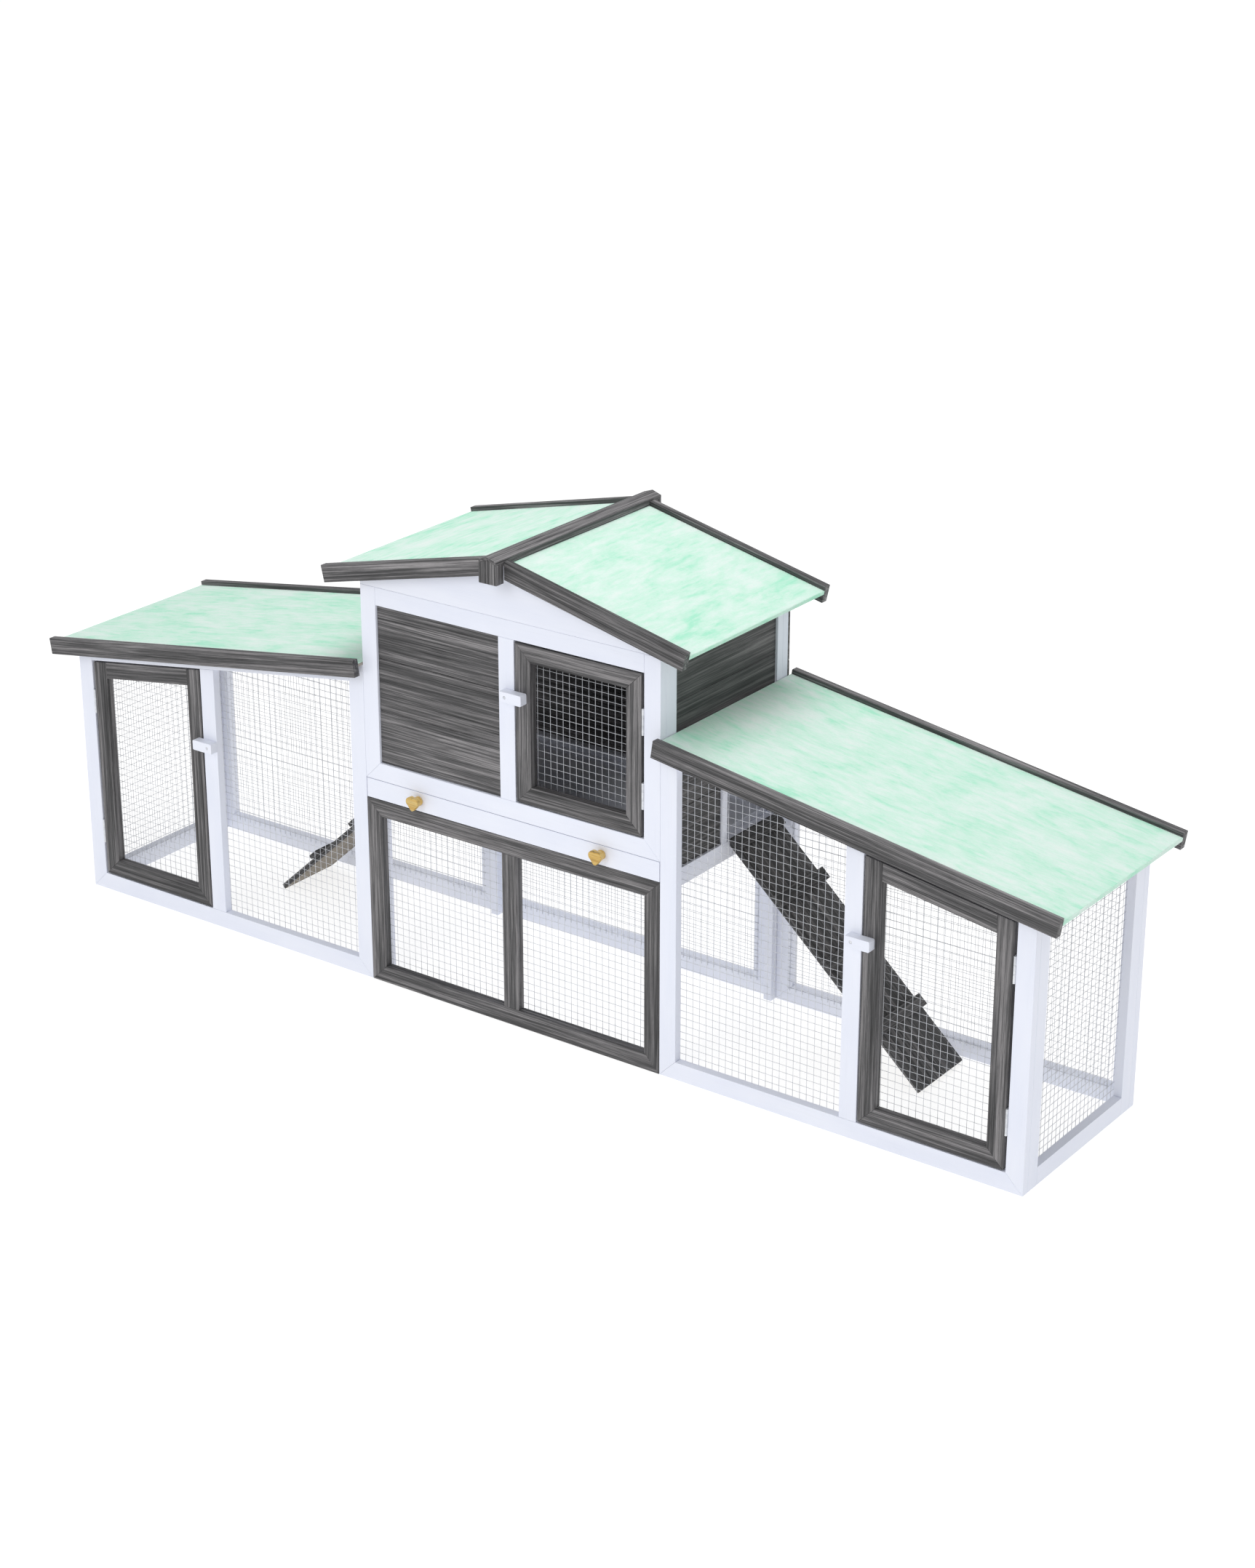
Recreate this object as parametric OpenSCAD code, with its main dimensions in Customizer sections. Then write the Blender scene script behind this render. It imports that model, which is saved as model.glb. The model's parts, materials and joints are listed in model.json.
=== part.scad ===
// Timber coop: a raised, gabled house between two lean-to wire runs.
// Origin: centre of the footprint, on the ground. +X right, +Y back, +Z up. Millimetres.

/* [Overall] */
// Width of the middle house
house_w = 600; // [480:10:800]
// Length of each lean-to run
run_len = 665; // [520:5:900]
// Depth over the front and rear frames
depth = 355; // [290:5:500]
// Height of the house walls at the eaves
house_wall_h = 738; // [690:2:900]
// Height of each run's roof line where it meets the house
run_wall_h = 571; // [510:1:620]

/* [Levels] */
// Top of the lower front panel and underside of the tray front
tray_z = 338; // [300:1:380]
// Height of the tray front
tray_front_h = 35; // [25:1:50]
// Height of the house front frame up to the gable board
house_front_h = 339; // [300:1:345]

/* [Timber] */
// Thickness of every frame timber
timber_t = 15; // [12:0.5:20]
// Face width of the white timbers
rail_w = 31; // [25:1:40]
// Face width of the dark door and panel timbers
door_rail_w = 30; // [24:1:38]
// Depth of the corner legs of the side frames
leg_w = 28; // [22:1:36]
// Face width of the house rear posts
rear_post_w = 45; // [35:1:60]
// Thickness of the wall boards
board_t = 8; // [6:0.5:10]
// How far the wall boards lie behind the frame face
board_recess = 4; // [2:0.5:6]
// Height of one wall board
board_h = 92; // [60:1:110]
// Thickness of the outer back boards
back_board_t = 6; // [4:0.5:9]

/* [Roof] */
// Slope of the house roof in degrees
house_pitch = 13; // [9:0.5:18]
// Slope of the run roofs in degrees
run_pitch = 8.8; // [6:0.2:11]
// Thickness of the roof deck
deck_t = 5; // [4:0.5:9]
// Thickness of the roofing felt
felt_t = 1.5; // [1:0.25:3]
// Height of the fascia boards
fascia_h = 29.5; // [24:0.5:40]
// Thickness of the fascia boards
fascia_t = 13.5; // [10:0.5:18]
// How far the fascias stand above the felt
fascia_rise = 7.5; // [3:0.5:12]
// How far the decks pass the front and rear frames
deck_side = 10.5; // [6:0.5:20]
// Overhang of the run roofs along the slope
run_eave = 46; // [20:1:80]
// Overhang of the house roof along the slope
house_eave = 61; // [30:1:90]
// Width of the ridge cap
cap_w = 35; // [30:1:60]
// Thickness of the ridge cap
cap_t = 5.6; // [4:0.2:9]
// Slope of the ridge cap in degrees
cap_pitch = 19; // [13:1:24]
// Thickness of the king blocks at both ends of the ridge
king_t = 19; // [12:1:28]
// Bottom of the king blocks below the cap's edge
king_h = 33; // [24:1:45]

/* [Doors] */
// Clear width of each run's doorway
run_bay = 263; // [200:1:300]
// Running gap round each door
door_gap = 2.5; // [2:0.1:4]
// Gap on the hinge side of each door
hinge_gap = 4.5; // [4.3:0.1:5.5]
// Height of each hinge
hinge_h = 44; // [30:1:60]
// Thickness of the hinge leaves
leaf_t = 0.9; // [0.8:0.05:1]
// Heights of the lower and upper hinge centres of the run doors
run_hinge_z = [115, 366]; // [90:1:380]
// Heights of the lower and upper hinge centres of the house door
house_hinge_z = [476, 600]; // [440:1:640]

/* [Latches] */
// Length of a turn button
latch_len = 43; // [34:1:50]
// Height of a turn button
latch_h = 18; // [14:1:24]
// Thickness of a turn button
latch_t = 15.5; // [10:0.5:20]
// Distance of the screw from the button's short end
latch_end = 10; // [8:1:13]
// Heights of the left and right run door buttons
run_latch_z = [346, 341]; // [250:1:400]
// Distances of the left and right run buttons' screws from their doorways
run_latch_in = [21.5, 9.5]; // [9:0.5:22]
// Height of the house door button
house_latch_z = 587; // [480:1:640]

/* [Mesh] */
// Thickness of the wire mesh sheets
mesh_t = 0.9; // [0.8:0.1:1.6]
// How far each mesh sheet laps over its frame
mesh_lap = 9; // [5:1:14]

/* [Pop holes and ramps] */
// Front edge of the pop holes, from mid depth
pop_y = 9.5; // [0:0.5:20]
// Height of the pop holes above their sill
pop_h = 183; // [140:1:190]
// Thickness of a ramp board
ramp_t = 9.5; // [7:0.5:14]
// Width of a ramp
ramp_w = 130; // [90:1:134]
// Slope of the ramps in degrees
ramp_slope = 42.5; // [38:0.5:50]
// Number of cleats on each ramp
cleat_count = 4; // [2:1:4]
// Spacing of the cleats along the ramp
cleat_pitch = 129.5; // [90:0.5:130]
// Width of a cleat along the ramp
cleat_w = 22; // [15:1:28]
// Thickness of a cleat
cleat_t = 8; // [5:0.5:10]
// How far the cleats pass the ramp's edges
cleat_over = 6; // [2:0.5:8]

/* [Tray] */
// Thickness of the tray floor
tray_t = 3; // [2:0.5:5]
// Height of the tray's rim above its floor
tray_rim = 9; // [5:1:14]
// Distance of the knobs from the middle of the tray front
knob_x = 187; // [120:1:240]
// Width of a heart knob
knob_w = 26; // [18:1:30]
// How far the knobs stand out
knob_out = 20; // [12:1:28]

/* [Hidden] */
$fn = 48;

joint = 0.2;               // gap between neighbouring pieces
seat = 0.3;                // gap under pieces that rest or slide
pin_gap = 0.05;            // radial clearance of pins and screws
end_gap = 0.3;             // gap between neighbouring knuckles
tray_gap = 1;              // gap round the tray front
hx = house_w / 2;          // house side face
hy = depth / 2;            // front and rear face
iy = hy - timber_t;        // inner face of the front and rear frames
x0 = hx + seat;            // run frames start here
x1 = hx + run_len;         // outer face of a run
bay_x1 = x1 - rail_w;      // far side of a run's doorway
bay_x0 = bay_x1 - run_bay; // near side of a run's doorway
header_h = 30;             // vertical height of a run's header
ridge_half = cap_w / 2;    // half width of the ridge beam
deck_y = hy + deck_side;
roof_build = deck_t + felt_t;
fascia_top = roof_build + fascia_rise;
run_roof_len = run_len / cos(run_pitch) + run_eave;
house_roof_len = hx / cos(house_pitch) + house_eave;
ridge_z = house_wall_h + hx * tan(house_pitch);
front_z0 = tray_z + tray_front_h;
front_z1 = front_z0 + house_front_h;
sill_z = tray_z + 4;       // top of the side frames' sill rails
cap_edge_z = ridge_z + roof_build / cos(house_pitch) + 1;
cap_peak_z = cap_edge_z + cap_w / 2 * tan(cap_pitch);
house_bay_x0 = rail_w / 2;
house_bay_x1 = hx - rail_w;
house_door_z0 = front_z0 + rail_w;
house_door_z1 = front_z1 - rail_w;
pop_z1 = sill_z + pop_h;
board_x = hx - board_recess - board_t;
ramp_foot_x = hx + (sill_z - 2.5) / tan(ramp_slope);
ramp_top_x = hx + 4.3;
leg_in = iy - leg_w;       // inner edge of the legs
rear_leg_in = iy - timber_t;

white = [0.9, 0.92, 0.97];
dark = [0.27, 0.27, 0.28];
mint = [0.66, 0.93, 0.81];
steel = [0.75, 0.76, 0.78];
pine = [0.87, 0.68, 0.28];

// Underside of the roofs at a distance from the middle
function run_top(x) = run_wall_h - (abs(x) - hx) * tan(run_pitch);
function house_top(x) = ridge_z - abs(x) * tan(house_pitch);

// Mirrors its children to the left when side is -1
module sided(side) {
  if (side < 0) mirror([1, 0, 0]) children();
  else children();
}

// Prism with an outline in the XZ plane, from y_front to y_back
module xz(points, y_front, y_back) {
  translate([0, y_back, 0]) rotate([90, 0, 0]) linear_extrude(y_back - y_front) polygon(points);
}

// Box from one corner to the other
module block(low, high) {
  translate(low) cube(high - low);
}

// Two stiles and a bottom rail, mitred at the lower corners; tops follow the given heights
module mitred_frame(xa, xb, za, top_a, top_b, w, h, y_front, y_back) {
  xz([[xa, za], [xb, za], [xb - w, za + h], [xa + w, za + h]], y_front, y_back);
  xz([[xa, za + joint], [xa + w, za + h + joint], [xa + w, top_a[1]], [xa, top_a[0]]], y_front, y_back);
  xz([[xb, za + joint], [xb, top_b[0]], [xb - w, top_b[1]], [xb - w, za + h + joint]], y_front, y_back);
}

// ---- Runs ----

module run_face(y_front, y_back, with_bay) {
  top = [for (x = [x0, x0 + rail_w, bay_x1, x1]) run_top(x) - joint];
  mitred_frame(x0, x1, 0, [top[0], top[1]], [top[3], top[2]], rail_w, rail_w, y_front, y_back);
  ha = x0 + rail_w + joint;
  hb = bay_x1 - joint;
  xz([[ha, run_top(ha) - joint], [hb, run_top(hb) - joint],
      [hb, run_top(hb) - header_h], [ha, run_top(ha) - header_h]], y_front, y_back);
  if (with_bay) {
    ma = bay_x0 - rail_w;
    xz([[ma, rail_w + joint], [bay_x0, rail_w + joint],
        [bay_x0, run_top(bay_x0) - header_h - joint], [ma, run_top(ma) - header_h - joint]],
       y_front, y_back);
  }
}

module run_front_frame(side) color(white) sided(side) run_face(-hy, -iy, true);
module run_rear_frame(side) color(white) sided(side) run_face(iy, hy, false);

module run_end_frame(side) color(white) sided(side) {
  xa = x1 - timber_t;
  ya = iy - joint;
  for (s = [-1, 1]) {
    y_front = s < 0 ? -ya : leg_in;
    xz([[xa, 0], [x1, 0], [x1, run_top(x1) - joint], [xa, run_top(xa) - joint]],
       y_front, y_front + leg_w - joint);
  }
  yb = leg_in - joint;
  block([xa, -yb, 0], [x1, yb, rail_w]);
  xz([[xa, run_top(xa) - header_h], [x1, run_top(x1) - header_h],
      [x1, run_top(x1) - joint], [xa, run_top(xa) - joint]], -yb, yb);
}

// Sheet of mesh in a run face between two distances from the middle
module run_sheet(xa, xb, y_front) {
  a = xa - mesh_lap;
  b = xb + mesh_lap;
  xz([[a, rail_w - mesh_lap], [b, rail_w - mesh_lap], [b, run_top(b) - header_h + mesh_lap],
      [a, run_top(a) - header_h + mesh_lap]], y_front, y_front + mesh_t);
}

module run_mesh(side) color(steel) sided(side) {
  run_sheet(x0 + rail_w, bay_x0 - rail_w, -iy + joint);
  run_sheet(x0 + rail_w, bay_x1 - timber_t, iy - joint - mesh_t);
  y_end = leg_in + mesh_lap;
  block([x1 - timber_t - joint - mesh_t, -y_end, rail_w - mesh_lap],
        [x1 - timber_t - joint, y_end, run_top(x1) - header_h + mesh_lap]);
}

// ---- House body ----

module house_front_frame() color(white) {
  mitred_frame(-hx, hx, front_z0, [front_z1, front_z1], [front_z1, front_z1],
               rail_w, rail_w, -hy, -iy);
  xa = hx - rail_w - joint;
  block([-xa, -hy, house_door_z1], [xa, -iy, front_z1]);
  block([-house_bay_x0, -hy, house_door_z0 + joint], [house_bay_x0, -iy, house_door_z1 - joint]);
}

module house_front_boards() color(dark) {
  xa = -hx + rail_w + joint;
  xb = -house_bay_x0 - joint;
  za = house_door_z0 + joint;
  count = max(1, round((house_door_z1 - joint - za) / board_h));
  step = (house_door_z1 - joint - za) / count;
  for (i = [0 : count - 1])
    block([xa, -hy + board_recess, za + i * step + (i > 0 ? joint : 0)],
          [xb, -hy + board_recess + board_t, za + (i + 1) * step]);
}

module gable_board() color(white) {
  z = front_z1 + joint;
  xz([[-hx, z], [hx, z], [hx, house_top(hx) - joint], [0, house_top(0) - joint],
      [-hx, house_top(hx) - joint]], -hy, -iy);
}

module house_rear_frame() color(white) {
  top = [house_top(hx) - joint, house_top(hx) - joint];
  mitred_frame(-hx, hx, 0, top, top, rear_post_w, rail_w, iy, hy);
  xa = hx - rear_post_w - joint;
  mid = tray_z - 5;
  block([-xa, iy, mid], [xa, hy, mid + rail_w]);
  block([-xa, iy, house_top(hx) - rail_w], [xa, hy, house_top(hx) - joint]);
}

module house_back_boards() color(dark) {
  y_front = hy + joint;
  za = tray_z - 5;
  zb = house_top(hx) - board_h / 2;
  count = max(1, round((zb - za) / board_h));
  step = (zb - za) / count;
  for (i = [0 : count - 1])
    block([-hx, y_front, za + i * step], [hx, y_front + back_board_t, za + (i + 1) * step - joint]);
  xz([[-hx, zb], [hx, zb], [hx, house_top(hx) - joint], [0, house_top(0) - joint],
      [-hx, house_top(hx) - joint]], y_front, y_front + back_board_t);
}

module house_rear_mesh() color(steel) {
  xa = hx - rear_post_w + mesh_lap;
  block([-xa, iy - joint - mesh_t, rail_w - mesh_lap], [xa, iy - joint, tray_z - 5 + mesh_lap]);
}

module house_side_frame(side) color(white) sided(side) {
  xa = hx - timber_t;
  ya = iy - joint;
  top = house_top(hx) - rail_w;
  profile = [[xa, 0], [hx, 0], [hx, house_top(hx) - joint], [xa, house_top(xa) - joint]];
  xz(profile, -ya, -leg_in - joint);
  xz(profile, rear_leg_in + joint, ya);
  xz([[xa, top], [hx, top], [hx, house_top(hx) - joint], [xa, house_top(xa) - joint]],
     -leg_in, rear_leg_in);
  block([xa, -leg_in, sill_z - rail_w], [hx, rear_leg_in, sill_z]);
  block([xa, pop_y - 14, sill_z + joint], [hx, pop_y, pop_z1 + 15]);
  block([xa, pop_y + joint, pop_z1], [hx, rear_leg_in, pop_z1 + 15]);
}

// Boards stacked between two heights
module board_stack(y_front, y_back, za, zb) {
  count = max(1, round((zb - za) / board_h));
  step = (zb - za) / count;
  for (i = [0 : count - 1])
    block([board_x, y_front, za + i * step + (i > 0 ? joint : 0)],
          [board_x + board_t, y_back, za + (i + 1) * step]);
}

module house_side_boards(side) color(dark) sided(side) {
  top = house_top(hx) - rail_w - joint;
  split = pop_z1 + 15 + joint;
  board_stack(-leg_in, pop_y - 14 - joint, sill_z + joint, split - 2 * joint);
  board_stack(-leg_in, rear_leg_in, split, top);
}

module lower_panel_frame() color(dark) {
  top = tray_z - tray_gap;
  xa = hx;
  mitred_frame(-xa, xa, 0, [top, top - door_rail_w], [top, top - door_rail_w],
               door_rail_w, door_rail_w, -hy, -iy);
  za = top - door_rail_w + joint;
  xz([[-xa + joint, top], [-xa + door_rail_w + joint, za], [xa - door_rail_w - joint, za],
      [xa - joint, top]], -hy, -iy);
  block([-door_rail_w / 2, -hy, door_rail_w + joint], [door_rail_w / 2, -iy, za - joint]);
}

module lower_panel_mesh() color(steel) {
  xa = hx - timber_t - joint;
  z0 = door_rail_w - mesh_lap;
  block([-xa, -iy + joint, z0], [xa, -iy + joint + mesh_t, tray_z - z0]);
}

module tray_runners() color(white)
  for (side = [-1, 1]) sided(side)
    block([hx - 2 * timber_t, -leg_in, sill_z - timber_t], [hx - timber_t - joint, rear_leg_in, sill_z]);

// ---- Roofs ----

// Local frame of a run roof: X down the slope, Z square to it, from the house wall
module on_run_roof(side) sided(side)
  translate([hx, 0, run_wall_h]) rotate([0, run_pitch, 0]) children();

// Local frame of a house roof half, from the ridge
module on_house_roof(side) sided(side)
  translate([0, 0, ridge_z]) rotate([0, house_pitch, 0]) children();

module run_deck(side) color(mint) on_run_roof(side)
  block([joint * 2, -deck_y + joint, 0], [run_roof_len - felt_t, deck_y - joint, deck_t]);

module felt(from, len) {
  block([from, -deck_y + joint, deck_t + joint / 2], [len - felt_t, deck_y - joint, roof_build]);
  block([len - felt_t + joint / 2, -deck_y + joint, 0], [len, deck_y - joint, roof_build]);
}

module run_felt(side) color(mint) on_run_roof(side) felt(2 * joint, run_roof_len);

module fascia_pair(from, len)
  for (s = [-1, 1]) {
    y_front = s < 0 ? -deck_y - fascia_t : deck_y;
    block([from, y_front, fascia_top - fascia_h], [len, y_front + fascia_t, fascia_top]);
  }

module run_fascias(side) color(dark) on_run_roof(side) fascia_pair(0, run_roof_len);

// Keeps what lies outside the ridge beam on one side
module beyond_ridge(side, half) intersection() {
  children();
  sided(side) block([half, -depth, 0], [house_w * 2, depth, ridge_z * 2]);
}

module house_deck(side) color(mint) beyond_ridge(side, joint) on_house_roof(side)
  block([0, -deck_y + joint, 0], [house_roof_len - felt_t, deck_y - joint, deck_t]);

module house_felt(side) color(mint) beyond_ridge(side, joint) on_house_roof(side)
  felt(0, house_roof_len);

module house_fascias() color(dark)
  for (side = [-1, 1]) beyond_ridge(side, ridge_half + joint) on_house_roof(side)
    fascia_pair(0, house_roof_len);

module ridge_beam() color(dark) {
  felt_z = ridge_z + roof_build / cos(house_pitch) + joint;
  drop = ridge_half * tan(house_pitch);
  lift = (cap_w / 2 - ridge_half) * tan(cap_pitch);
  y = deck_y + fascia_t;
  xz([[0, felt_z], [ridge_half, felt_z - drop], [ridge_half, cap_edge_z + lift - joint],
      [0, cap_peak_z - joint], [-ridge_half, cap_edge_z + lift - joint],
      [-ridge_half, felt_z - drop]], -y, y);
}

module ridge_cap() color(dark) {
  y = deck_y + fascia_t + joint + king_t;
  half = cap_w / 2;
  xz([[-half, cap_edge_z], [0, cap_peak_z], [half, cap_edge_z], [half, cap_edge_z + cap_t],
      [0, cap_peak_z + cap_t], [-half, cap_edge_z + cap_t]], -y, y);
}

module king_blocks() color(dark)
  for (s = [-1, 1]) {
    y = deck_y + fascia_t + joint;
    half = cap_w / 2;
    xz([[-half, cap_edge_z - king_h], [half, cap_edge_z - king_h], [half, cap_edge_z - joint],
        [0, cap_peak_z - joint], [-half, cap_edge_z - joint]],
       s < 0 ? -y - king_t : y, s < 0 ? -y : y + king_t);
  }

// ---- Doors ----

run_door = [bay_x0 + door_gap, bay_x1 - hinge_gap];
house_door = [house_bay_x0 + door_gap, house_bay_x1 - hinge_gap];

// Slanted top of a run door
function door_top(x) = run_top(x) - header_h - door_gap;

module run_door_frame(side) color(dark) sided(side) {
  a = run_door[0];
  b = run_door[1];
  w = door_rail_w;
  mitred_frame(a, b, rail_w + door_gap, [door_top(a), door_top(a + w)],
               [door_top(b), door_top(b - w)], w, w, -hy, -iy);
  c = a + w + joint;
  d = b - w - joint;
  xz([[c, door_top(c)], [c, door_top(c) - w], [d, door_top(d) - w], [d, door_top(d)]], -hy, -iy);
}

module run_door_mesh(side) color(steel) sided(side) {
  a = run_door[0] + door_rail_w - mesh_lap;
  b = run_door[1] - door_rail_w + mesh_lap;
  z = rail_w + door_gap + door_rail_w - mesh_lap;
  xz([[a, z], [b, z], [b, door_top(b) - door_rail_w + mesh_lap],
      [a, door_top(a) - door_rail_w + mesh_lap]], -iy + joint, -iy + joint + mesh_t);
}

module house_door_frame() color(dark) {
  a = house_door[0];
  b = house_door[1];
  w = door_rail_w;
  za = house_door_z0 + door_gap;
  zb = house_door_z1 - door_gap;
  mitred_frame(a, b, za, [zb, zb - w], [zb, zb - w], w, w, -hy, -iy);
  xz([[a + joint, zb], [a + w + joint, zb - w + joint], [b - w - joint, zb - w + joint],
      [b - joint, zb]], -hy, -iy);
}

module house_door_mesh() color(steel) {
  inset = door_rail_w - mesh_lap;
  block([house_door[0] + inset, -iy + joint, house_door_z0 + door_gap + inset],
        [house_door[1] - inset, -iy + joint + mesh_t, house_door_z1 - door_gap - inset]);
}

// Hinges stand in the gap beside a door, with the pin in the plane of the front face
knuckle_r = hinge_gap / 2 - 0.25;
pin_r = knuckle_r / 2;
leaf_from = knuckle_r + 0.2;
leaf_deep = timber_t - 2;

// One leaf against a door or a frame, from xa, with tabs that reach its knuckles
module leaf(xa, z, tabs, tab_h) {
  block([xa, -hy + leaf_from, z - hinge_h / 2], [xa + leaf_t, -hy + leaf_deep, z + hinge_h / 2]);
  for (zt = tabs) block([xa, -hy, zt], [xa + leaf_t, -hy + leaf_from + 1, zt + tab_h]);
}

module pin_half(x_edge, z) {
  third = hinge_h / 3;
  tabs = [z - hinge_h / 2, z + third / 2];
  leaf(x_edge - 0.1 - leaf_t, z, tabs, third);
  translate([x_edge - hinge_gap / 2, -hy, 0]) {
    for (zk = tabs) translate([0, 0, zk]) cylinder(r = knuckle_r, h = third);
    translate([0, 0, z - hinge_h / 2]) cylinder(r = pin_r, h = hinge_h);
  }
}

module moving_half(x_edge, z) {
  third = hinge_h / 3 - 2 * end_gap;
  zk = z - third / 2;
  difference() {
    union() {
      leaf(x_edge - hinge_gap + 0.1, z, [zk], third);
      translate([x_edge - hinge_gap / 2, -hy, zk]) cylinder(r = knuckle_r, h = third);
    }
    translate([x_edge - hinge_gap / 2, -hy, zk - 1]) cylinder(r = pin_r + pin_gap, h = third + 2);
  }
}

module door_hinge_pins() color(steel) {
  for (side = [-1, 1]) sided(side) for (z = run_hinge_z) pin_half(bay_x1, z);
  for (z = house_hinge_z) pin_half(house_bay_x1, z);
}

module run_door_hinges(side) color(steel) sided(side)
  for (z = run_hinge_z) moving_half(bay_x1, z);

module house_door_hinges() color(steel) for (z = house_hinge_z) moving_half(house_bay_x1, z);

// ---- Turn buttons ----

screw_r = 1.5;
head_r = 2.4;
head_deep = 3;
house_latch_x = 7.5;
latch_back = -hy - seat;
latch_cut = 1.5;

// Turn button with its arm towards +X
module latch_at(x, z) translate([x, latch_back, z]) difference() {
  low = -latch_end;
  high = latch_len - latch_end;
  half = latch_h / 2;
  xz([[low, -half], [high - latch_cut, -half], [high, -half + latch_cut], [high, half - latch_cut],
      [high - latch_cut, half], [low, half]], -latch_t, 0);
  rotate([90, 0, 0]) translate([0, 0, -1]) cylinder(r = screw_r + pin_gap, h = latch_t + 2);
  rotate([90, 0, 0]) translate([0, 0, latch_t - head_deep]) cylinder(r = head_r + 0.3, h = latch_t);
}

module screw_at(x, z) translate([x, -hy - 0.1, z]) rotate([90, 0, 0]) {
  deep = latch_t + seat - head_deep + 0.1;
  cylinder(r = screw_r, h = deep + 1);
  translate([0, 0, deep]) cylinder(r = head_r, h = head_deep - 0.8);
}

// Index 0 is the left run, 1 the right
function run_latch_x(k) = bay_x0 - run_latch_in[k];

module run_latch(k) color(white) sided(2 * k - 1) latch_at(run_latch_x(k), run_latch_z[k]);
module house_latch() color(white) latch_at(house_latch_x, house_latch_z);

module latch_screws() color(steel) {
  for (k = [0, 1]) sided(2 * k - 1) screw_at(run_latch_x(k), run_latch_z[k]);
  screw_at(house_latch_x, house_latch_z);
}

// ---- Tray ----

tray_half = hx - timber_t - 2;
tray_back = iy - 2;

module tray_pan() color(steel) {
  z = sill_z + seat;
  rim = 2;
  block([-tray_half, -iy + joint, z], [tray_half, tray_back, z + tray_t]);
  for (side = [-1, 1]) sided(side)
    block([tray_half - rim, -iy + joint, z + tray_t + 0.1], [tray_half, tray_back, z + tray_t + tray_rim]);
  block([-tray_half + rim + 0.1, tray_back - rim, z + tray_t + 0.1],
        [tray_half - rim - 0.1, tray_back, z + tray_t + tray_rim]);
}

module tray_front() color(white)
  block([-hx + tray_gap, -hy, tray_z], [hx - tray_gap, -iy, front_z0 - tray_gap]);

// Plump heart outline, point down, centred on its width
module heart(w) {
  for (s = [-1, 1]) translate([s * 0.2 * w, 0.12 * w]) circle(r = 0.3 * w, $fn = 32);
  polygon([[-0.48 * w, 0.02 * w], [-0.12 * w, -0.44 * w], [0, -0.5 * w], [0.12 * w, -0.44 * w],
           [0.48 * w, 0.02 * w], [0, 0.3 * w]]);
}

module tray_knobs() color(pine)
  for (s = [-1, 1]) translate([s * knob_x, -hy - 0.1, tray_z + tray_front_h / 2 + 1.5]) rotate([90, 0, 0]) {
    cylinder(r = knob_w * 0.32, h = knob_out / 2 + 0.5);
    translate([0, 0, knob_out / 2]) linear_extrude(knob_out / 2) heart(knob_w);
  }

// ---- Ramps ----

ramp_y0 = pop_y + 1;
ramp_rise = ramp_t / cos(ramp_slope);

// Height of a ramp's underside at a distance from the middle
function ramp_z(x) = (ramp_foot_x - x) * tan(ramp_slope);

// Ramp hinges: pin and knuckle sizes, and the pin's distance below the ramp's underside
ramp_pin_r = 1.5;
ramp_knuckle_r = 2.8;
ramp_off = ramp_knuckle_r + seat;
hinge_x = hx + 3.2;
hinge_z = ramp_z(hinge_x) - ramp_off / cos(ramp_slope);

module ramp_board(side) color(dark) sided(side) {
  tip = ramp_t * sin(ramp_slope);
  xz([[ramp_top_x, ramp_z(ramp_top_x)], [ramp_foot_x, 0],
      [ramp_foot_x + tip, ramp_t * cos(ramp_slope)], [ramp_top_x, ramp_z(ramp_top_x) + ramp_rise]],
     ramp_y0, ramp_y0 + ramp_w);
}

// Cleats from the top down; the first stays inside the pop hole's width
module ramp_cleats(side) color(dark) sided(side)
  translate([ramp_top_x, ramp_y0, ramp_z(ramp_top_x) + ramp_rise]) rotate([0, ramp_slope, 0])
    for (i = [0 : cleat_count - 1]) {
      at = i == 0 ? 3 : i * cleat_pitch - 12;
      over = i == 0 ? 0 : cleat_over;
      block([at, -over, joint], [at + cleat_w, ramp_w + over, cleat_t]);
    }

ramp_hinge_y = [for (k = [0.2, 0.8]) ramp_y0 + k * ramp_w];
ramp_hinge_w = 24;

module ramp_hinge_pins() color(steel)
  for (side = [-1, 1]) sided(side) for (y = ramp_hinge_y) {
    third = ramp_hinge_w / 3;
    block([hx + 0.1, y - ramp_hinge_w / 2, hinge_z - 18],
          [hx + 1, y + ramp_hinge_w / 2, hinge_z - 3]);
    for (s = [-1, 1]) {
      ya = s < 0 ? y - ramp_hinge_w / 2 : y + third / 2;
      translate([hinge_x, ya + third, hinge_z]) rotate([90, 0, 0])
        cylinder(r = ramp_knuckle_r, h = third);
      block([hx + 0.5, ya, hinge_z - 4], [hx + 1.5, ya + third, hinge_z]);
    }
    translate([hinge_x, y + ramp_hinge_w / 2, hinge_z]) rotate([90, 0, 0])
      cylinder(r = ramp_pin_r, h = ramp_hinge_w);
  }

module ramp_hinges(side) color(steel) sided(side) for (y = ramp_hinge_y) {
  third = ramp_hinge_w / 3 - 2 * end_gap;
  translate([hinge_x, y, hinge_z]) rotate([0, ramp_slope, 0]) difference() {
    union() {
      rotate([90, 0, 0]) cylinder(r = ramp_knuckle_r, h = third, center = true);
      block([0, -third / 2, ramp_off - 1.1], [5, third / 2, ramp_off - 0.1]);
      block([4, -ramp_hinge_w / 2, ramp_off - 1.1], [20, ramp_hinge_w / 2, ramp_off - 0.1]);
    }
    rotate([90, 0, 0]) cylinder(r = ramp_pin_r + pin_gap, h = third + 2, center = true);
  }
}

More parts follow.
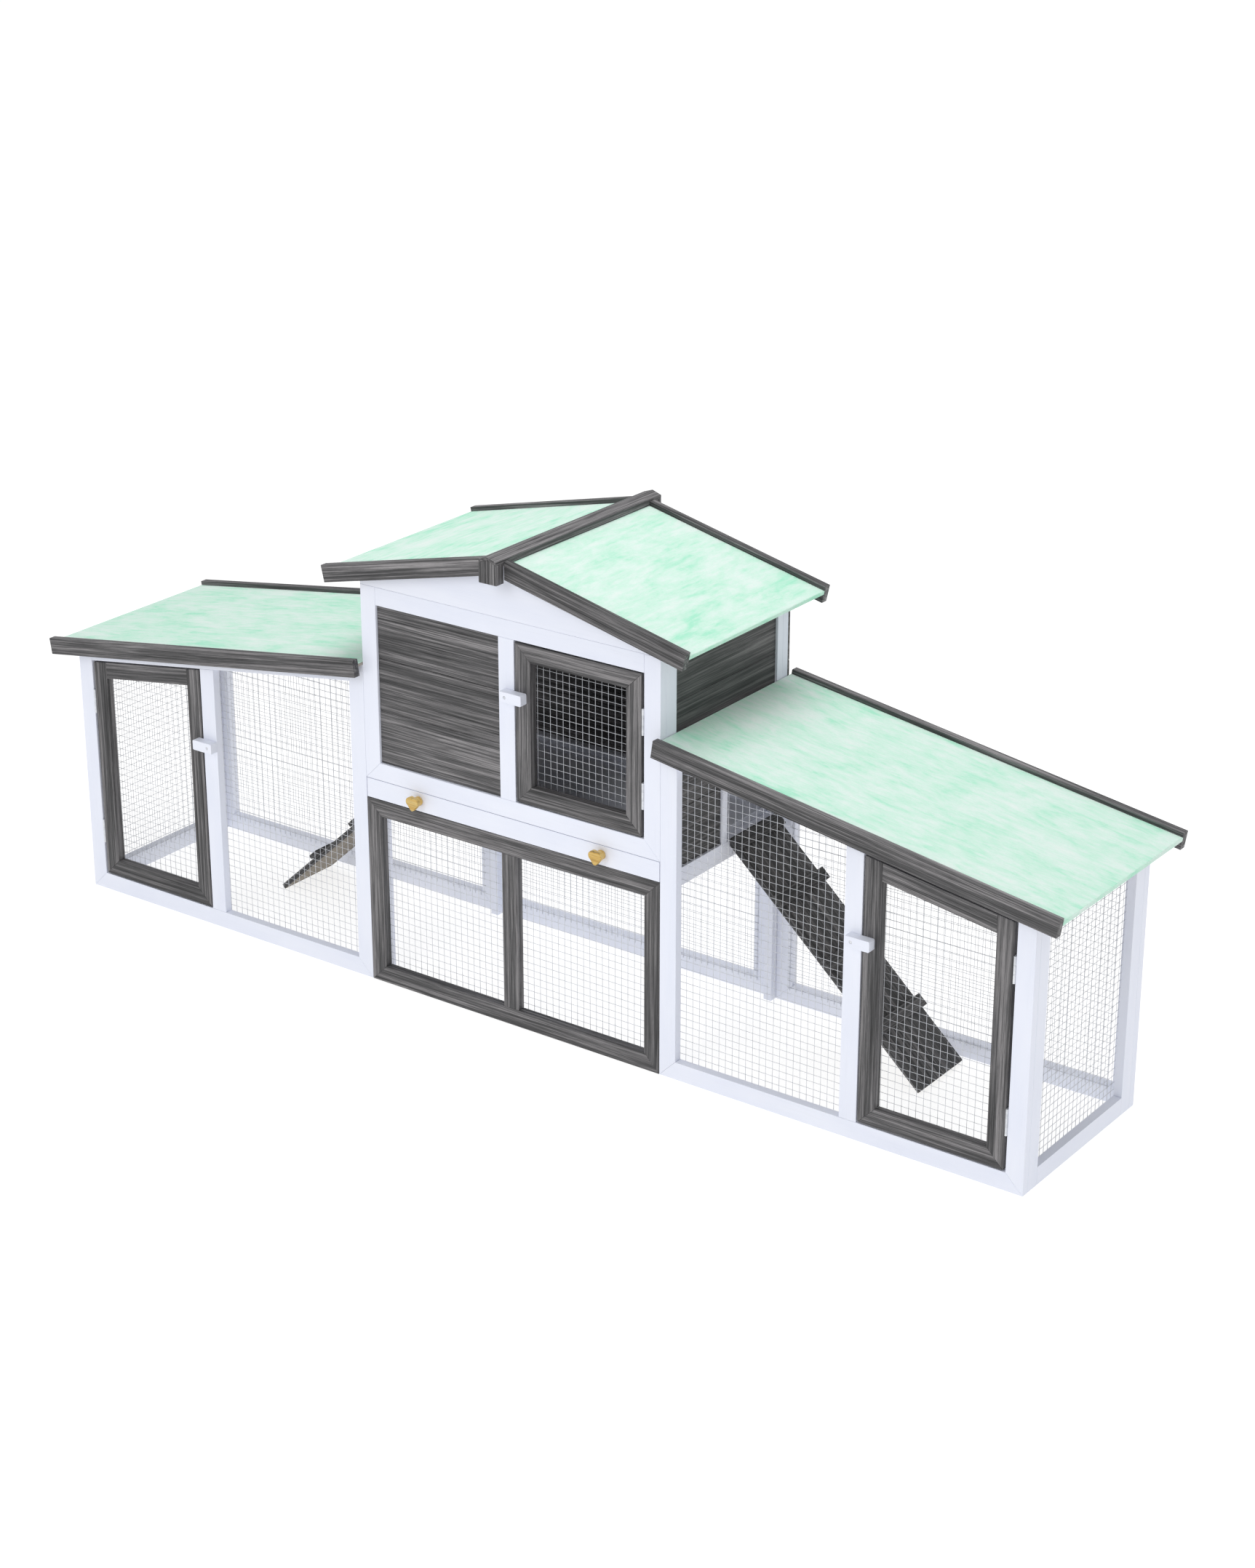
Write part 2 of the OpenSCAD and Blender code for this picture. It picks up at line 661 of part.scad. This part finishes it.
run_front_frame(-1);  // left_front_frame
run_front_frame(1);  // right_front_frame
run_rear_frame(-1);  // left_rear_frame
run_rear_frame(1);  // right_rear_frame
run_end_frame(-1);  // left_end_frame
run_end_frame(1);  // right_end_frame
run_mesh(-1);  // left_run_mesh
run_mesh(1);  // right_run_mesh
house_front_frame();
house_front_boards();
gable_board();
house_rear_frame();
house_back_boards();
house_rear_mesh();
house_side_frame(-1);  // left_side_frame
house_side_frame(1);  // right_side_frame
house_side_boards(-1);  // left_side_boards
house_side_boards(1);  // right_side_boards
lower_panel_frame();
lower_panel_mesh();
tray_runners();
run_deck(-1);  // left_run_deck
run_deck(1);  // right_run_deck
run_felt(-1);  // left_run_felt
run_felt(1);  // right_run_felt
run_fascias(-1);  // left_run_fascias
run_fascias(1);  // right_run_fascias
house_deck(-1);  // house_left_deck
house_deck(1);  // house_right_deck
house_felt(-1);  // house_left_felt
house_felt(1);  // house_right_felt
house_fascias();
ridge_beam();
ridge_cap();
king_blocks();
door_hinge_pins();
ramp_hinge_pins();
latch_screws();
run_door_frame(-1);  // left_door_frame
run_door_mesh(-1);  // left_door_mesh
run_door_hinges(-1);  // left_door_hinges
run_door_frame(1);  // right_door_frame
run_door_mesh(1);  // right_door_mesh
run_door_hinges(1);  // right_door_hinges
house_door_frame();
house_door_mesh();
house_door_hinges();
run_latch(0);  // left_latch
run_latch(1);  // right_latch
house_latch();
tray_pan();
tray_front();
tray_knobs();
ramp_board(-1);  // left_ramp_board
ramp_cleats(-1);  // left_ramp_cleats
ramp_hinges(-1);  // left_ramp_hinges
ramp_board(1);  // right_ramp_board
ramp_cleats(1);  // right_ramp_cleats
ramp_hinges(1);  // right_ramp_hinges
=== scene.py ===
import json
import math
import random

import bmesh
import bpy
from mathutils import Matrix, Vector

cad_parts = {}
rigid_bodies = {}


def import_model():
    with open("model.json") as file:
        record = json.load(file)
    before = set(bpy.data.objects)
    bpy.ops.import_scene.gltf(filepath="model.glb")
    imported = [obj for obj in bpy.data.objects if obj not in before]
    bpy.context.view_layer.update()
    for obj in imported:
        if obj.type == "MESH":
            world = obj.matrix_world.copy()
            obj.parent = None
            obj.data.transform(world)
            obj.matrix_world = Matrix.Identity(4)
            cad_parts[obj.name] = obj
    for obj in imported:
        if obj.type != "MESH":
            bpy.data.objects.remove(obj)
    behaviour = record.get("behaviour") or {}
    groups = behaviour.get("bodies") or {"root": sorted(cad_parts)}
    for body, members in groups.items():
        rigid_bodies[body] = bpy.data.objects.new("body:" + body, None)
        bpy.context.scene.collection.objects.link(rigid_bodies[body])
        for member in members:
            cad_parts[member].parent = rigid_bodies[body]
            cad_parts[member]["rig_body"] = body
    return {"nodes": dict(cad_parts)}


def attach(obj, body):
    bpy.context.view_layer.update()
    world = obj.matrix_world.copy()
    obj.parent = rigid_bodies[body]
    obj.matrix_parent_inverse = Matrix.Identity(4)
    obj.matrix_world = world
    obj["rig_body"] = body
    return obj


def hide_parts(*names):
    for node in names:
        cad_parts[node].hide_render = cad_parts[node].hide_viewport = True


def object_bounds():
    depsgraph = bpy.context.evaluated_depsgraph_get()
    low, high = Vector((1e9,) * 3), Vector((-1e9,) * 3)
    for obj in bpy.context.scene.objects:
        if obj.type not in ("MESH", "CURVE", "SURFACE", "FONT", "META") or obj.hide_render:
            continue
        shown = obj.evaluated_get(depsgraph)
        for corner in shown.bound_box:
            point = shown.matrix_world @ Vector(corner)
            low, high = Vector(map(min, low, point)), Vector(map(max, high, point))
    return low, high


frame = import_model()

CAD_BOX = [list(corner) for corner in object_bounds()]
NODES = frame["nodes"]
MM = 0.001

# ---- camera, at the photograph's angle ----

camera = bpy.data.objects.new("camera", bpy.data.cameras.new("camera"))
bpy.context.scene.collection.objects.link(camera)
camera.location = (2.8543, -3.7819, 2.3274)
camera.rotation_euler = (math.radians(67.58), 0.0, math.radians(35.98))
camera.data.sensor_width = 36.0
camera.data.lens = 70.98
camera.data.clip_start = 0.05
bpy.context.scene.camera = camera


# ---- node material helpers ----

class Graph:
    """A material's node tree, with short calls to add and join nodes."""

    def __init__(self, name):
        self.material = bpy.data.materials.new(name)
        self.material.use_nodes = True
        self.tree = self.material.node_tree
        self.tree.nodes.clear()
        self.shader = self.add("ShaderNodeBsdfPrincipled")
        out = self.add("ShaderNodeOutputMaterial")
        self.join(self.shader.outputs[0], out.inputs["Surface"])

    def add(self, kind, **values):
        node = self.tree.nodes.new(kind)
        for key, value in values.items():
            setattr(node, key, value)
        return node

    def join(self, start, end):
        self.tree.links.new(start, end)

    def feed(self, value, socket):
        if isinstance(value, bpy.types.NodeSocket):
            self.join(value, socket)
        else:
            socket.default_value = value

    def scaled(self, vector, scale):
        node = self.add("ShaderNodeMapping")
        self.join(vector, node.inputs["Vector"])
        node.inputs["Scale"].default_value = scale
        return node.outputs["Vector"]

    def noise(self, vector, scale, detail=4.0, rough=0.55, distortion=0.0):
        node = self.add("ShaderNodeTexNoise")
        self.join(vector, node.inputs["Vector"])
        node.inputs["Scale"].default_value = scale
        node.inputs["Detail"].default_value = detail
        node.inputs["Roughness"].default_value = rough
        node.inputs["Distortion"].default_value = distortion
        return node.outputs["Fac"]

    def ramp(self, value, *stops):
        node = self.add("ShaderNodeValToRGB")
        self.join(value, node.inputs["Fac"])
        elements = node.color_ramp.elements
        while len(elements) < len(stops):
            elements.new(0.5)
        for element, (place, colour) in zip(elements, stops):
            element.position = place
            if isinstance(colour, (int, float)):
                colour = (colour,) * 3
            element.color = (*colour, 1.0)
        return node.outputs["Color"]

    def mix(self, fac, a, b, blend="MIX"):
        node = self.add("ShaderNodeMix", data_type="RGBA", blend_type=blend)
        self.feed(fac, node.inputs["Factor"])
        for value, name in ((a, 6), (b, 7)):
            if isinstance(value, tuple):
                value = (*value, 1.0)
            self.feed(value, node.inputs[name])
        return node.outputs[2]

    def math(self, operation, a, b=0.0):
        node = self.add("ShaderNodeMath", operation=operation)
        self.feed(a, node.inputs[0])
        self.feed(b, node.inputs[1])
        return node.outputs[0]

    def bump(self, height, strength, distance):
        node = self.add("ShaderNodeBump")
        self.join(height, node.inputs["Height"])
        node.inputs["Strength"].default_value = strength
        node.inputs["Distance"].default_value = distance
        self.join(node.outputs["Normal"], self.shader.inputs["Normal"])

    def place(self, name):
        node = self.add("ShaderNodeAttribute", attribute_name=name)
        return node.outputs["Vector"]

    def tint(self, name):
        node = self.add("ShaderNodeAttribute", attribute_name=name)
        return node.outputs["Fac"]


def srgb(*values):
    """Linear colour from 0 to 255 screen values."""
    return tuple((v / 255.0 / 12.92) if v <= 10 else ((v / 255.0 + 0.055) / 1.055) ** 2.4
                 for v in values)


def painted_wood(name, light, shade):
    """Thick white paint with faint grain, soft mottling and rubbed edges."""
    g = Graph(name)
    grain = g.place("grain")
    streaks = g.noise(g.scaled(grain, (2.0, 60.0, 60.0)), 6.0, 5.0, 0.6, 0.4)
    broad = g.noise(g.scaled(grain, (1.0, 4.0, 4.0)), 5.0, 3.0)
    speck = g.noise(grain, 900.0, 2.0)
    colour = g.mix(g.ramp(broad, (0.3, 0.0), (0.75, 1.0)), light, shade)
    lines = g.ramp(streaks, (0.2, 0.93), (0.45, 1.0))
    colour = g.mix(0.5, colour, lines, "MULTIPLY")
    worn = g.math("MULTIPLY", g.tint("edge"), g.ramp(g.noise(grain, 45.0), (0.45, 0.0), (0.75, 1.0)))
    colour = g.mix(g.math("MULTIPLY", worn, 0.35), colour, srgb(214, 214, 222))
    g.join(colour, g.shader.inputs["Base Color"])
    g.join(g.ramp(speck, (0.3, 0.42), (0.7, 0.58)), g.shader.inputs["Roughness"])
    height = g.math("ADD", g.math("MULTIPLY", streaks, 0.7), g.math("MULTIPLY", speck, 0.3))
    g.bump(height, 0.18, 0.0006)
    return g.material


def stained_wood(name, deep, mid, pale):
    """Dark stained softwood: fine streaks along the grain, growth bands, knots and worn edges."""
    g = Graph(name)
    grain = g.place("grain")
    fine = g.noise(g.scaled(grain, (1.5, 120.0, 120.0)), 5.0, 6.0, 0.7, 0.1)
    wide = g.noise(g.scaled(grain, (0.5, 36.0, 36.0)), 4.0, 5.0, 0.65, 0.15)
    cloud = g.noise(g.scaled(grain, (1.0, 3.0, 3.0)), 9.0, 3.0)
    pores = g.noise(g.scaled(grain, (14.0, 420.0, 420.0)), 4.0, 3.0, 0.7)
    mixed = g.math("ADD", g.math("MULTIPLY", fine, 0.5), g.math("MULTIPLY", wide, 0.5))
    colour = g.ramp(mixed, (0.39, deep), (0.49, mid), (0.6, pale))
    colour = g.mix(0.55, colour, g.ramp(cloud, (0.3, 0.72), (0.7, 1.1)), "MULTIPLY")
    knot = g.add("ShaderNodeTexVoronoi")
    g.join(g.scaled(grain, (7.0, 60.0, 60.0)), knot.inputs["Vector"])
    knot.inputs["Scale"].default_value = 1.0
    spots = g.ramp(knot.outputs["Distance"], (0.06, 0.35), (0.17, 1.0))
    colour = g.mix(0.65, colour, spots, "MULTIPLY")
    colour = g.mix(0.7, colour, g.ramp(pores, (0.35, 0.5), (0.46, 1.0)), "MULTIPLY")
    tone = g.tint("tone")
    colour = g.mix(1.0, colour, g.ramp(tone, (0.0, 0.86), (1.0, 1.12)), "MULTIPLY")
    worn = g.math("MULTIPLY", g.tint("edge"), g.ramp(g.noise(grain, 60.0), (0.35, 0.0), (0.7, 1.0)))
    colour = g.mix(g.math("MULTIPLY", worn, 0.55), colour, pale)
    g.join(colour, g.shader.inputs["Base Color"])
    g.join(g.ramp(mixed, (0.35, 0.62), (0.65, 0.48)), g.shader.inputs["Roughness"])
    height = g.math("ADD", g.math("MULTIPLY", mixed, 0.6), g.math("MULTIPLY", pores, 0.4))
    g.bump(height, 0.45, 0.0008)
    return g.material


def felt_material(name):
    """Mineral felt: mint green, mottled with pale and deeper patches, with a fine grit."""
    g = Graph(name)
    where = g.place("grain")
    patch = g.noise(g.scaled(where, (1.0, 2.0, 1.0)), 9.0, 6.0, 0.66, 0.5)
    brush = g.noise(g.scaled(where, (4.0, 16.0, 1.0)), 6.0, 5.0, 0.66, 0.3)
    grit = g.noise(where, 1400.0, 2.0, 0.7)
    clump = g.noise(where, 260.0, 3.0, 0.6)
    mixed = g.math("ADD", g.math("MULTIPLY", patch, 0.55), g.math("MULTIPLY", brush, 0.45))
    colour = g.ramp(mixed, (0.36, srgb(166, 230, 201)), (0.46, srgb(199, 235, 217)),
                    (0.56, srgb(216, 237, 227)), (0.68, srgb(227, 238, 232)))
    colour = g.mix(0.4, colour, g.ramp(grit, (0.3, 0.92), (0.7, 1.05)), "MULTIPLY")
    colour = g.mix(0.3, colour, g.ramp(clump, (0.35, 0.94), (0.65, 1.04)), "MULTIPLY")
    g.join(colour, g.shader.inputs["Base Color"])
    g.shader.inputs["Roughness"].default_value = 0.88
    height = g.math("ADD", g.math("MULTIPLY", grit, 0.6), g.math("MULTIPLY", clump, 0.4))
    g.bump(height, 0.5, 0.0007)
    return g.material


def metal_material(name, colour, shade, rough, bump, metallic):
    """Zinc coated steel: patchy coating, fine pits and dull spots."""
    g = Graph(name)
    where = g.add("ShaderNodeTexCoord").outputs["Object"]
    patch = g.noise(where, 120.0, 4.0)
    pits = g.noise(where, 1500.0, 2.0)
    g.join(g.mix(g.ramp(patch, (0.35, 0.0), (0.65, 1.0)), colour, shade), g.shader.inputs["Base Color"])
    g.shader.inputs["Metallic"].default_value = metallic
    g.join(g.ramp(pits, (0.3, rough - 0.08), (0.7, rough + 0.1)), g.shader.inputs["Roughness"])
    g.bump(pits, bump, 0.0003)
    return g.material


def sheet_material(name):
    """Painted tray floor: pale, with scuffs and faint dirt."""
    g = Graph(name)
    where = g.add("ShaderNodeTexCoord").outputs["Object"]
    dirt = g.noise(where, 14.0, 5.0, 0.6, 0.5)
    scuff = g.noise(g.scaled(where, (8.0, 120.0, 8.0)), 4.0, 4.0, 0.7)
    colour = g.ramp(dirt, (0.3, srgb(216, 220, 232)), (0.6, srgb(236, 239, 248)))
    colour = g.mix(0.4, colour, g.ramp(scuff, (0.35, 0.9), (0.6, 1.04)), "MULTIPLY")
    g.join(colour, g.shader.inputs["Base Color"])
    g.join(g.ramp(scuff, (0.3, 0.35), (0.7, 0.55)), g.shader.inputs["Roughness"])
    g.bump(scuff, 0.2, 0.0004)
    return g.material


WHITE = painted_wood("white_paint", srgb(238, 241, 251), srgb(230, 234, 247))
DARK = stained_wood("dark_stain", srgb(30, 30, 31), srgb(80, 79, 80), srgb(146, 143, 144))
# A darker copy of the dark stain: painted shade for the timbers that sit in shadow, which are the side
# boards, ramp boards and ramp cleats.
SHADE_PAINTED_STAIN = stained_wood("shade_painted_stain", srgb(24, 24, 25), srgb(58, 58, 58), srgb(110, 108, 108))
BARE = stained_wood("ramp_underside", srgb(74, 66, 54), srgb(112, 101, 84), srgb(138, 127, 108))
PINE = stained_wood("knob_varnish", srgb(206, 158, 66), srgb(230, 188, 92), srgb(242, 210, 130))
PINE.node_tree.nodes["Principled BSDF"].inputs["Coat Weight"].default_value = 0.4
FELT = felt_material("roof_felt")
DECK = stained_wood("deck_board", srgb(150, 143, 132), srgb(178, 171, 160), srgb(198, 192, 182))
WIRE = metal_material("galvanised_wire", srgb(216, 218, 222), srgb(188, 191, 197), 0.45, 0.3, 0.15)
ZINC = metal_material("zinc_hinge", srgb(228, 230, 234), srgb(200, 203, 209), 0.36, 0.25, 0.3)
TRAY = sheet_material("tray_floor")


# ---- pieces that stand for CAD nodes ----

def islands(bm):
    """The connected groups of faces of a bmesh."""
    left, groups = list(bm.faces), []
    seen = set()
    for first in left:
        if first in seen:
            continue
        seen.add(first)
        stack, group = [first], []
        while stack:
            face = stack.pop()
            group.append(face)
            for edge in face.edges:
                for other in edge.link_faces:
                    if other not in seen:
                        seen.add(other)
                        stack.append(other)
        groups.append(group)
    return groups


def clean_copy(node):
    """The node's mesh as a bmesh with flat polygons in place of triangles."""
    bm = bmesh.new()
    bm.from_mesh(NODES[node].data)
    bmesh.ops.remove_doubles(bm, verts=bm.verts, dist=1e-6)
    bmesh.ops.dissolve_limit(bm, angle_limit=math.radians(0.6), verts=bm.verts, edges=bm.edges)
    return bm


def turned_to(axis):
    """Matrix that takes a timber's length to X, for grain coordinates."""
    side = Vector((0, 1, 0)) if abs(axis.y) < 0.9 else Vector((1, 0, 0))
    side = (side - axis * side.dot(axis)).normalized()
    return Matrix((axis, side, axis.cross(side)))


def mark_grain(bm, rng, axis=None):
    """Grain coordinates and a tone for each separate timber."""
    grain = bm.verts.layers.float_vector.new("grain")
    tone = bm.verts.layers.float.new("tone")
    for group in islands(bm):
        along = axis
        if along is None:
            edges = {e for f in group for e in f.edges}
            longest = max(edges, key=lambda e: round(e.calc_length(), 5))
            along = (longest.verts[1].co - longest.verts[0].co).normalized()
        turn = turned_to(along)
        shift = Vector([rng.uniform(-9, 9) for _ in range(3)])
        shade = rng.random()
        for vert in {v for f in group for v in f.verts}:
            vert[grain] = turn @ vert.co + shift
            vert[tone] = shade


def ease_edges(bm, width, segments=2):
    """Rounds every sharp edge a little, and marks the middle of each rounding for wear."""
    sharp = [e for e in bm.edges if len(e.link_faces) == 2 and e.calc_face_angle() > 0.5]
    made = bmesh.ops.bevel(bm, geom=sharp, offset=width, segments=segments, profile=0.5,
                           affect="EDGES", clamp_overlap=True)
    rounding = set(made["faces"])
    mark = bm.verts.layers.float.new("edge")
    for vert in bm.verts:
        vert[mark] = 1.0 if all(f in rounding for f in vert.link_faces) else 0.0
    return rounding


def finish_piece(bm, name, node, materials):
    """Makes the object, which rides on the node's body and stands for the node."""
    mesh = bpy.data.meshes.new(name)
    bm.to_mesh(mesh)
    bm.free()
    for material in materials:
        mesh.materials.append(material)
    obj = bpy.data.objects.new(name, mesh)
    bpy.context.scene.collection.objects.link(obj)
    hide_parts(node)
    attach(obj, NODES[node]["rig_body"])
    return obj


def smooth_roundings(bm, rounding):
    for face in rounding:
        face.smooth = True


def timber(node, material, ease=0.45, axis=None, under=None):
    """Timbers keep their CAD shape, with eased arrises and grain along each one."""
    bm = clean_copy(node)
    rounding = ease_edges(bm, ease * MM)
    mark_grain(bm, random.Random(node), Vector(axis) if axis else None)
    smooth_roundings(bm, rounding)
    materials = [material]
    if under:
        materials.append(under)
        for face in bm.faces:
            face.material_index = 1 if face.normal.z < -0.5 else 0
    finish_piece(bm, "timber_" + node, node, materials)


def span_at(outline, axis, value):
    """Where a line across a convex outline enters and leaves it, along the other axis."""
    hits = []
    for start, end in zip(outline, outline[1:] + outline[:1]):
        a, b = start[axis] - value, end[axis] - value
        if (a <= 0) != (b <= 0):
            k = a / (a - b)
            hits.append(start[1 - axis] + k * (end[1 - axis] - start[1 - axis]))
    return (min(hits), max(hits)) if len(hits) > 1 else None


WIRE_R = 0.4 * MM
WIRE_PITCH = 12.7 * MM
WIRE_SIDES = 6
WIRE_STEP = 50 * MM


def wire(verts, faces, start, end, across, depth, wave):
    """One slightly wavy wire, as a tube with closed ends."""
    along = end - start
    count = max(2, round(along.length / WIRE_STEP))
    first = len(verts)
    phase = wave.uniform(0, 6.28)
    size = wave.uniform(0.05, 0.3) * MM
    for i in range(count + 1):
        k = i / count
        centre = start + along * k + across * (size * math.sin(phase + 5.0 * k * along.length / 0.4))
        for j in range(WIRE_SIDES):
            turn = 2 * math.pi * j / WIRE_SIDES
            verts.append(centre + across * (WIRE_R * math.cos(turn)) + depth * (WIRE_R * math.sin(turn)))
    for i in range(count):
        for j in range(WIRE_SIDES):
            a, b = first + i * WIRE_SIDES + j, first + i * WIRE_SIDES + (j + 1) % WIRE_SIDES
            faces.append((a, b, b + WIRE_SIDES, a + WIRE_SIDES))
    faces.append(tuple(first + j for j in reversed(range(WIRE_SIDES))))
    last = first + count * WIRE_SIDES
    faces.append(tuple(last + j for j in range(WIRE_SIDES)))


def wire_mesh(node):
    """Welded wire on a square grid in place of each thin sheet of the node."""
    wave = random.Random(node)
    bm = clean_copy(node)
    verts, faces = [], []
    for group in islands(bm):
        points = list({v for f in group for v in f.verts})
        low = Vector([min(p.co[i] for p in points) for i in range(3)])
        high = Vector([max(p.co[i] for p in points) for i in range(3)])
        thin = 0 if high.x - low.x < high.y - low.y else 1
        face = max(group, key=lambda f: (f.calc_area(), f.normal[thin]))
        flat = 1 - thin
        outline = [(p.co[flat], p.co.z) for p in face.verts]
        mid = (low[thin] + high[thin]) / 2
        depth = Vector((1, 0, 0) if thin == 0 else (0, 1, 0))
        side = Vector((0, 1, 0) if thin == 0 else (1, 0, 0))
        up = Vector((0, 0, 1))
        for axis, across, lift in ((0, side, -0.6), (1, up, 0.6)):
            start = min(p[axis] for p in outline)
            stop = max(p[axis] for p in outline)
            value = start + wave.uniform(0.3, 0.9) * WIRE_PITCH
            while value < stop - WIRE_R:
                span = span_at(outline, axis, value)
                if span and span[1] - span[0] > WIRE_PITCH:
                    ends = []
                    for other in (span[0] + WIRE_R, span[1] - WIRE_R):
                        u, z = (value, other) if axis == 0 else (other, value)
                        ends.append(side * u + up * z + depth * (mid + lift * WIRE_R))
                    wire(verts, faces, ends[0], ends[1], across, depth, wave)
                value += WIRE_PITCH
    bm.free()
    mesh = bpy.data.meshes.new("wire_" + node)
    mesh.from_pydata([tuple(v) for v in verts], [], faces)
    mesh.polygons.foreach_set("use_smooth", [len(f) == 4 for f in faces])
    mesh.materials.append(WIRE)
    obj = bpy.data.objects.new("wire_" + node, mesh)
    bpy.context.scene.collection.objects.link(obj)
    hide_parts(node)
    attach(obj, NODES[node]["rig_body"])


def felt_sheet(node):
    """Felt with a slightly uneven surface and soft edges."""
    bm = clean_copy(node)
    rounding = ease_edges(bm, 0.35 * MM)
    mark_grain(bm, random.Random(node))
    smooth_roundings(bm, rounding)
    finish_piece(bm, "felt_" + node, node, [FELT])


def soft_knobs(node):
    """Heart knobs turned smooth: remeshed finely, then relaxed."""
    bm = clean_copy(node)
    obj = finish_piece(bm, "smooth_" + node, node, [PINE])
    remesh = obj.modifiers.new("fine", "REMESH")
    remesh.mode = "VOXEL"
    remesh.voxel_size = 0.6 * MM
    relax = obj.modifiers.new("relax", "SMOOTH")
    relax.factor = 0.6
    relax.iterations = 26
    graph = bpy.context.evaluated_depsgraph_get()
    soft = bpy.data.meshes.new_from_object(obj.evaluated_get(graph))
    obj.modifiers.clear()
    bm = bmesh.new()
    bm.from_mesh(soft)
    mark_grain(bm, random.Random(node), Vector((1, 0, 0)))
    bm.verts.layers.float.new("edge")
    for face in bm.faces:
        face.smooth = True
    bm.to_mesh(obj.data)
    bm.free()


for name in (
    "left_front_frame", "right_front_frame", "left_rear_frame", "right_rear_frame",
    "left_end_frame", "right_end_frame", "house_front_frame", "gable_board",
    "house_rear_frame", "left_side_frame", "right_side_frame", "tray_runners", "tray_front",
    "left_latch", "right_latch", "house_latch",
):
    timber(name, WHITE)
for name in (
    "lower_panel_frame", "left_run_fascias", "right_run_fascias", "house_fascias",
    "ridge_beam", "ridge_cap", "left_door_frame", "right_door_frame", "house_door_frame",
):
    timber(name, DARK, ease=0.6)
for name in ("house_front_boards", "house_back_boards"):
    timber(name, DARK, ease=1.4)
# The side boards and ramp cleats take the darker stain, which is painted shade.
for name in ("left_side_boards", "right_side_boards", "left_ramp_cleats", "right_ramp_cleats"):
    timber(name, SHADE_PAINTED_STAIN, ease=1.0)
timber("king_blocks", DARK, ease=0.6, axis=(0, 0, 1))
# The ramp tops take the darker stain, which is painted shade; the undersides take the bare wood.
for name in ("left_ramp_board", "right_ramp_board"):
    timber(name, SHADE_PAINTED_STAIN, ease=0.6, under=BARE)
for name in ("left_run_deck", "right_run_deck", "house_left_deck", "house_right_deck"):
    timber(name, DECK, ease=0.4)
timber("tray_pan", TRAY, ease=0.4)
for name in ("left_run_felt", "right_run_felt", "house_left_felt", "house_right_felt"):
    felt_sheet(name)
for name in (
    "left_run_mesh", "right_run_mesh", "house_rear_mesh", "lower_panel_mesh",
    "left_door_mesh", "right_door_mesh", "house_door_mesh",
):
    wire_mesh(name)
soft_knobs("tray_knobs")
for name in (
    "door_hinge_pins", "ramp_hinge_pins", "latch_screws", "left_door_hinges",
    "right_door_hinges", "house_door_hinges", "left_ramp_hinges", "right_ramp_hinges",
):
    NODES[name].data.materials.clear()
    NODES[name].data.materials.append(ZINC)


# ---- floor, world and lights ----

def floor_material():
    g = Graph("pale_floor")
    where = g.add("ShaderNodeTexCoord").outputs["Object"]
    g.join(g.ramp(g.noise(where, 3.0), (0.3, 0.39), (0.7, 0.41)), g.shader.inputs["Base Color"])
    g.shader.inputs["Roughness"].default_value = 0.9
    g.shader.inputs["Specular IOR Level"].default_value = 0.1
    g.shader.inputs["Emission Color"].default_value = (1.0, 1.0, 1.0, 1.0)
    g.shader.inputs["Emission Strength"].default_value = 0.79
    return g.material


def plain_floor(half):
    mesh = bpy.data.meshes.new("floor")
    z = CAD_BOX[0][2] - 0.0005
    mesh.from_pydata([(-half, -half, z), (half, -half, z), (half, half, z), (-half, half, z)],
                     [], [(0, 1, 2, 3)])
    mesh.materials.append(floor_material())
    obj = bpy.data.objects.new("floor", mesh)
    bpy.context.scene.collection.objects.link(obj)


def soft_light(name, place, aim, size, power, colour=(1.0, 1.0, 1.0)):
    data = bpy.data.lights.new(name, "AREA")
    data.shape = "SQUARE"
    data.size = size
    data.energy = power
    data.color = colour
    obj = bpy.data.objects.new(name, data)
    obj.location = place
    obj.rotation_euler = (Vector(aim) - Vector(place)).to_track_quat("-Z", "Y").to_euler()
    bpy.context.scene.collection.objects.link(obj)


plain_floor(60.0)
world = bpy.data.worlds.new("studio")
world.use_nodes = True
world.node_tree.nodes["Background"].inputs["Color"].default_value = (0.97, 0.98, 1.0, 1.0)
world.node_tree.nodes["Background"].inputs["Strength"].default_value = 0.55
bpy.context.scene.world = world
soft_light("key", (0.2, -3.6, 2.8), (0.1, 0, 0.5), 1.8, 34)
soft_light("top", (0.2, 0.3, 4.5), (0, 0, 0.4), 3.0, 86)
soft_light("right", (3.6, -0.6, 2.6), (0, 0, 0.6), 2.0, 5)
bpy.context.scene.view_settings.view_transform = "Standard"
